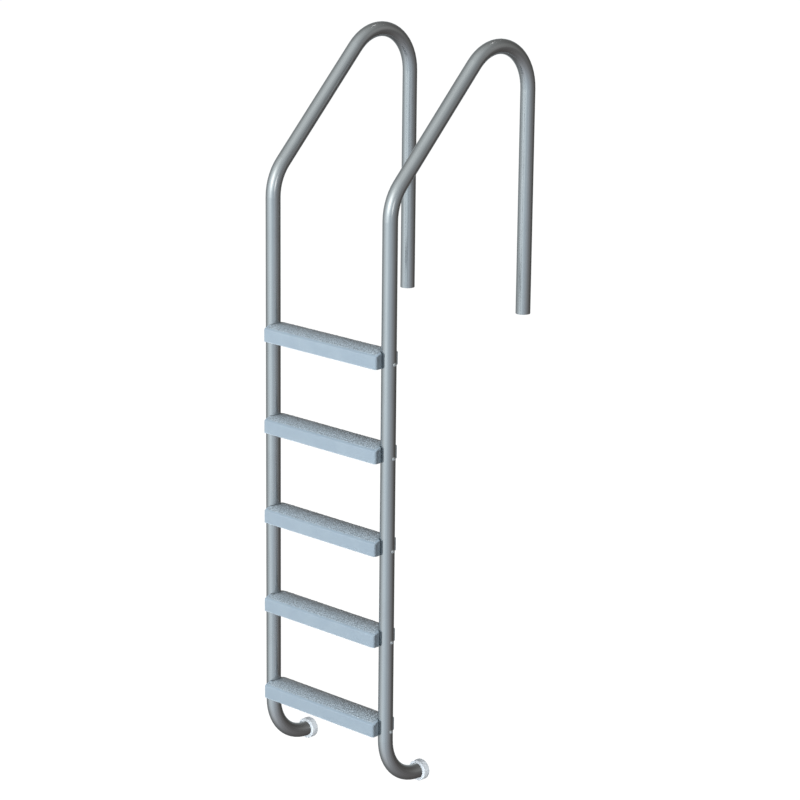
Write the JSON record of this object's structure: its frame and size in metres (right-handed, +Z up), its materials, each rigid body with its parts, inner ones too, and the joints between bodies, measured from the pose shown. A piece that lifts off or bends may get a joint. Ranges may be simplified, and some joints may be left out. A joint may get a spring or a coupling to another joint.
{
  "type": "dock and pool ladder",
  "caption": "Bent tube ladder with moulded treads between two curved handrails and a white bumper on each foot.",
  "frame": {"origin": "centre of the left deck leg's square cut end", "axes": "+X across to the right rail, +Y from the water side towards the deck, +Z up"},
  "size_m": [0.576, 0.7111, 2.3955],
  "materials": {
    "stainless_tube": "satin polished stainless steel tube",
    "tread_moulding": "blue grey moulded plastic, pebbled on top",
    "fastener": "plain stainless steel",
    "white_bumper": "white moulded rubber"
  },
  "bodies": {
    "root": {"left_rail": "stainless_tube", "right_rail": "stainless_tube", "tread_1": "tread_moulding", "left_bolt_1": "fastener", "left_washer_1": "fastener", "left_nut_1": "fastener", "right_bolt_1": "fastener", "right_washer_1": "fastener", "right_nut_1": "fastener", "tread_2": "tread_moulding", "left_bolt_2": "fastener", "left_washer_2": "fastener", "left_nut_2": "fastener", "right_bolt_2": "fastener", "right_washer_2": "fastener", "right_nut_2": "fastener", "tread_3": "tread_moulding", "left_bolt_3": "fastener", "left_washer_3": "fastener", "left_nut_3": "fastener", "right_bolt_3": "fastener", "right_washer_3": "fastener", "right_nut_3": "fastener", "tread_4": "tread_moulding", "left_bolt_4": "fastener", "left_washer_4": "fastener", "left_nut_4": "fastener", "right_bolt_4": "fastener", "right_washer_4": "fastener", "right_nut_4": "fastener", "tread_5": "tread_moulding", "left_bolt_5": "fastener", "left_washer_5": "fastener", "left_nut_5": "fastener", "right_bolt_5": "fastener", "right_washer_5": "fastener", "right_nut_5": "fastener", "left_bumper": "white_bumper", "right_bumper": "white_bumper"}
  },
  "joints": []
}
